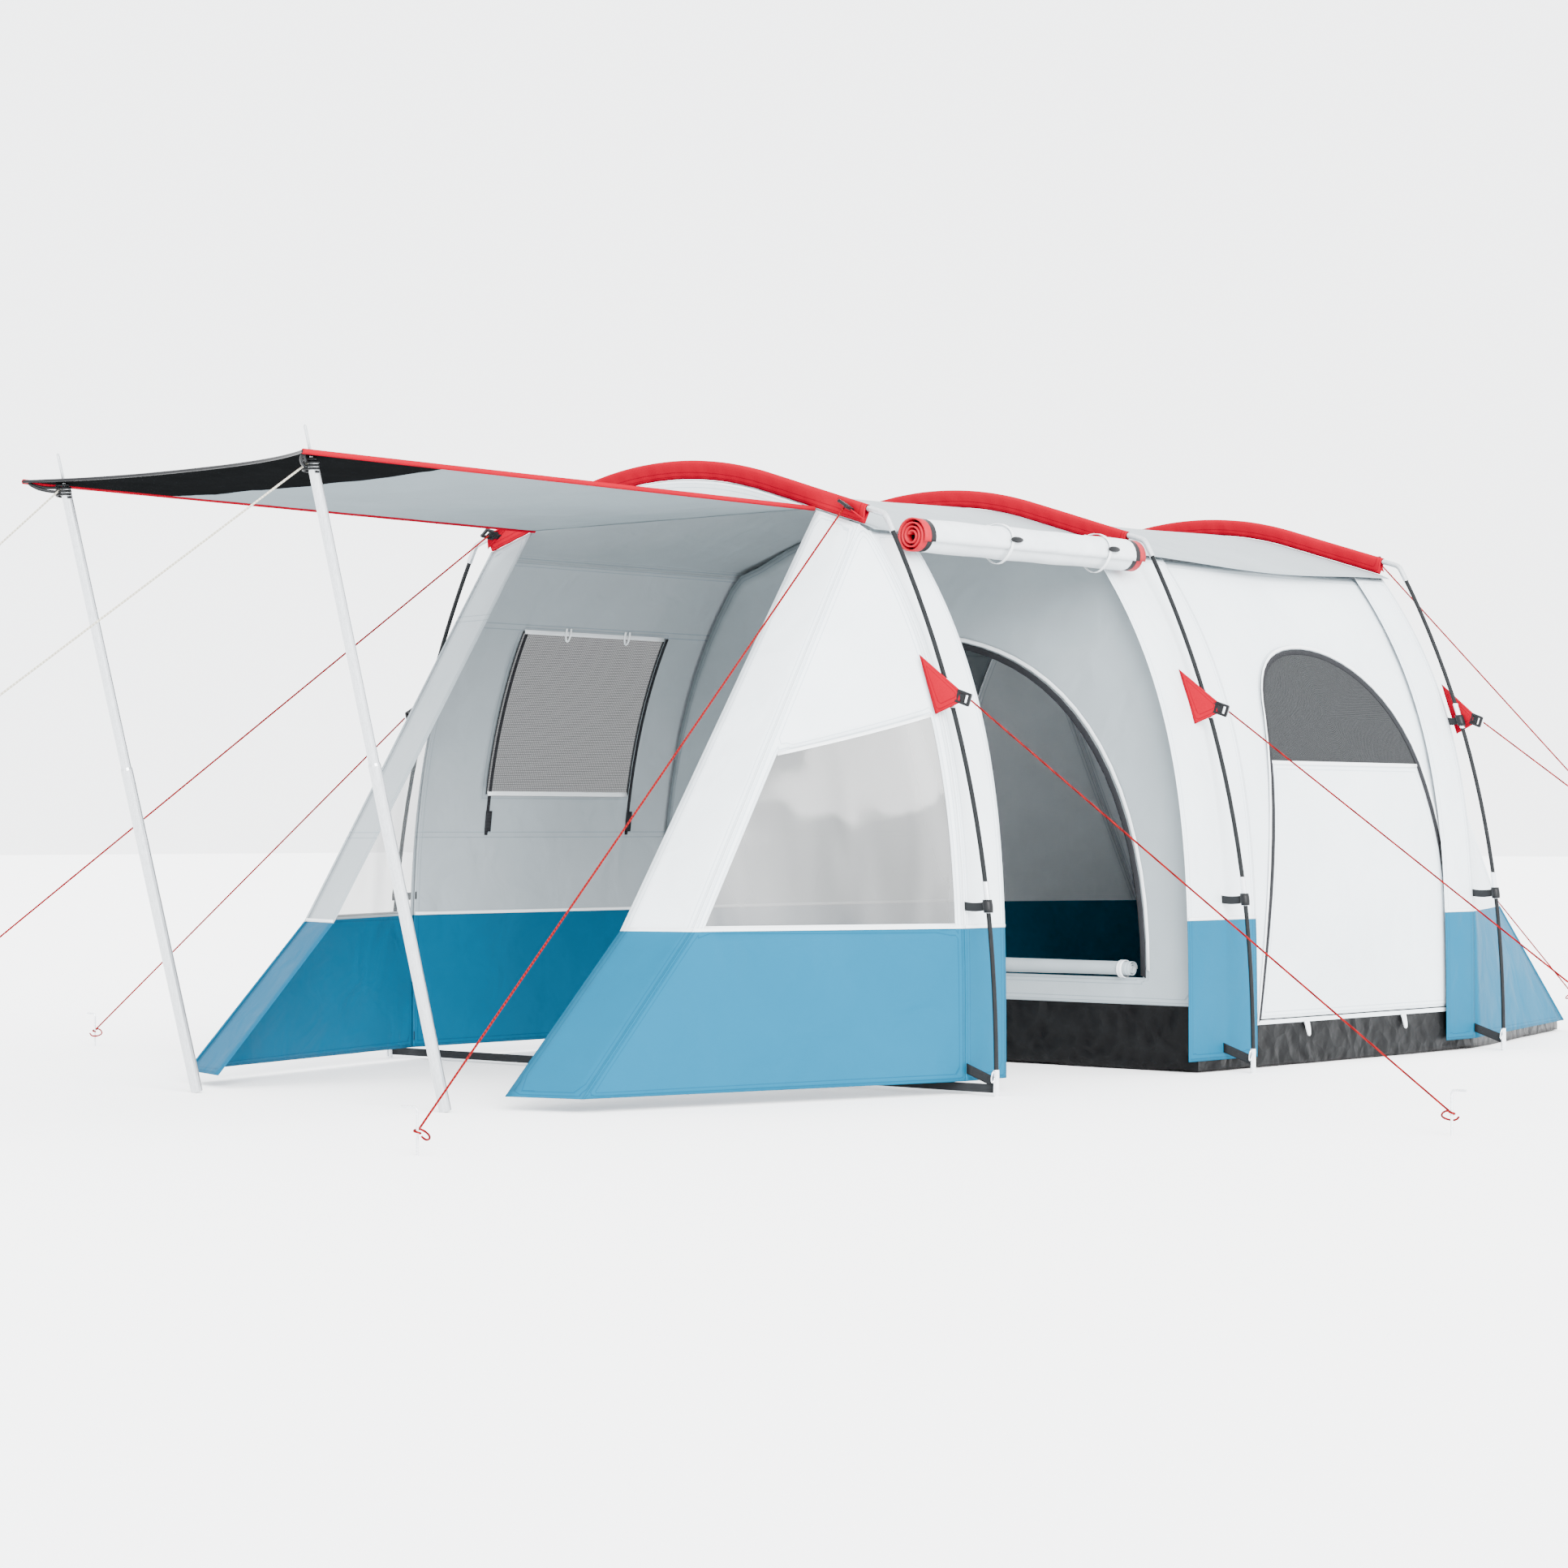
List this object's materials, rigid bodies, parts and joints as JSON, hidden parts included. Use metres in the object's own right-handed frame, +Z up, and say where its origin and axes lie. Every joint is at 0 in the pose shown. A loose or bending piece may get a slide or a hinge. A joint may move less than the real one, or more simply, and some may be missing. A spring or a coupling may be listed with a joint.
{
  "type": "tunnel tent",
  "caption": "Three-arch tunnel tent with external roof-pole sleeves, open porch, canopy on two poles, bedroom with a hinged side door, bathtub floor, guy lines and pegs.",
  "frame": {"origin": "on the ground, under the middle of the tent's own box without its guy lines and pegs", "axes": "+Z up, -Y towards the canopy and the open front, +X towards the side with the open side door"},
  "size_m": [4.482, 7.978, 1.5427],
  "materials": {
    "pale_cloth": "coated polyester, satin",
    "shade_cloth": "the same cloth, shaded",
    "red_cloth": "matt polyester",
    "floor_cloth": "laminated, slightly shiny",
    "netting": "fine net",
    "webbing": "woven",
    "clear_film": "clear, glossy",
    "rod": "glass-fibre rod, satin",
    "steel": "bright zinc",
    "red_cord": "braided",
    "pale_cord": "braided"
  },
  "bodies": {
    "tent": {"awning": "shade_cloth", "bedroom_left_wall": "pale_cloth", "bedroom_side_panel": "pale_cloth", "cross_wall": "shade_cloth", "fly_roof": "pale_cloth", "foot_strap": "webbing", "front_band_right": "pale_cloth", "front_elbow_left": "steel", "front_elbow_right": "steel", "front_leg_left": "rod", "front_leg_right": "rod", "front_roof_pole": "rod", "front_sleeve": "red_cloth", "groundsheet": "floor_cloth", "guy_awning_left": "pale_cord", "guy_awning_right": "pale_cord", "guy_front_left": "red_cord", "guy_front_right": "red_cord", "guy_rear_middle": "red_cord", "guy_rear_right": "red_cord", "guy_side_front_left": "red_cord", "guy_side_front_right": "red_cord", "guy_side_middle_right": "red_cord", "guy_side_rear_right": "red_cord", "inner_door_roll": "pale_cloth", "living_left_wall": "shade_cloth", "living_window_net": "netting", "middle_band_right": "pale_cloth", "middle_elbow_left": "steel", "middle_elbow_right": "steel", "middle_leg_left": "rod", "middle_leg_right": "rod", "middle_roof_pole": "rod", "middle_sleeve": "red_cloth", "peg_awning_left": "steel", "peg_awning_right": "steel", "peg_front_left": "steel", "peg_front_right": "steel", "peg_rear_middle": "steel", "peg_rear_right": "steel", "peg_side_front_left": "steel", "peg_side_front_right": "steel", "peg_side_middle_right": "steel", "peg_side_rear_right": "steel", "rear_band_right": "pale_cloth", "rear_elbow_left": "steel", "rear_elbow_right": "steel", "rear_leg_left": "rod", "rear_leg_right": "rod", "rear_roof_pole": "rod", "rear_sleeve": "red_cloth", "rear_wall": "pale_cloth", "side_door_roll": "pale_cloth", "wing_left": "shade_cloth", "wing_right": "pale_cloth", "wing_window_left": "clear_film", "wing_window_right": "clear_film"},
    "side_door": {"bedroom_side_door": "pale_cloth"},
    "pole_right": {"awning_pole_right": "steel"},
    "pole_left": {"awning_pole_left": "steel"}
  },
  "joints": [
    {"name": "side_door_hinge", "type": "hinge", "parent": "tent", "child": "side_door", "pos_m": [0.941, 0.873, 0.122], "axis": [0, -1, 0], "range_deg": [0, 85]},
    {"name": "pole_right_swing", "type": "hinge", "parent": "tent", "child": "pole_right", "pos_m": [0.429, -2.36248, 1.40645], "axis": [1, 0, 0], "range_deg": [0, 12]},
    {"name": "pole_left_swing", "type": "hinge", "parent": "tent", "child": "pole_left", "pos_m": [-0.429, -2.36248, 1.40645], "axis": [1, 0, 0], "range_deg": [0, 12]}
  ]
}
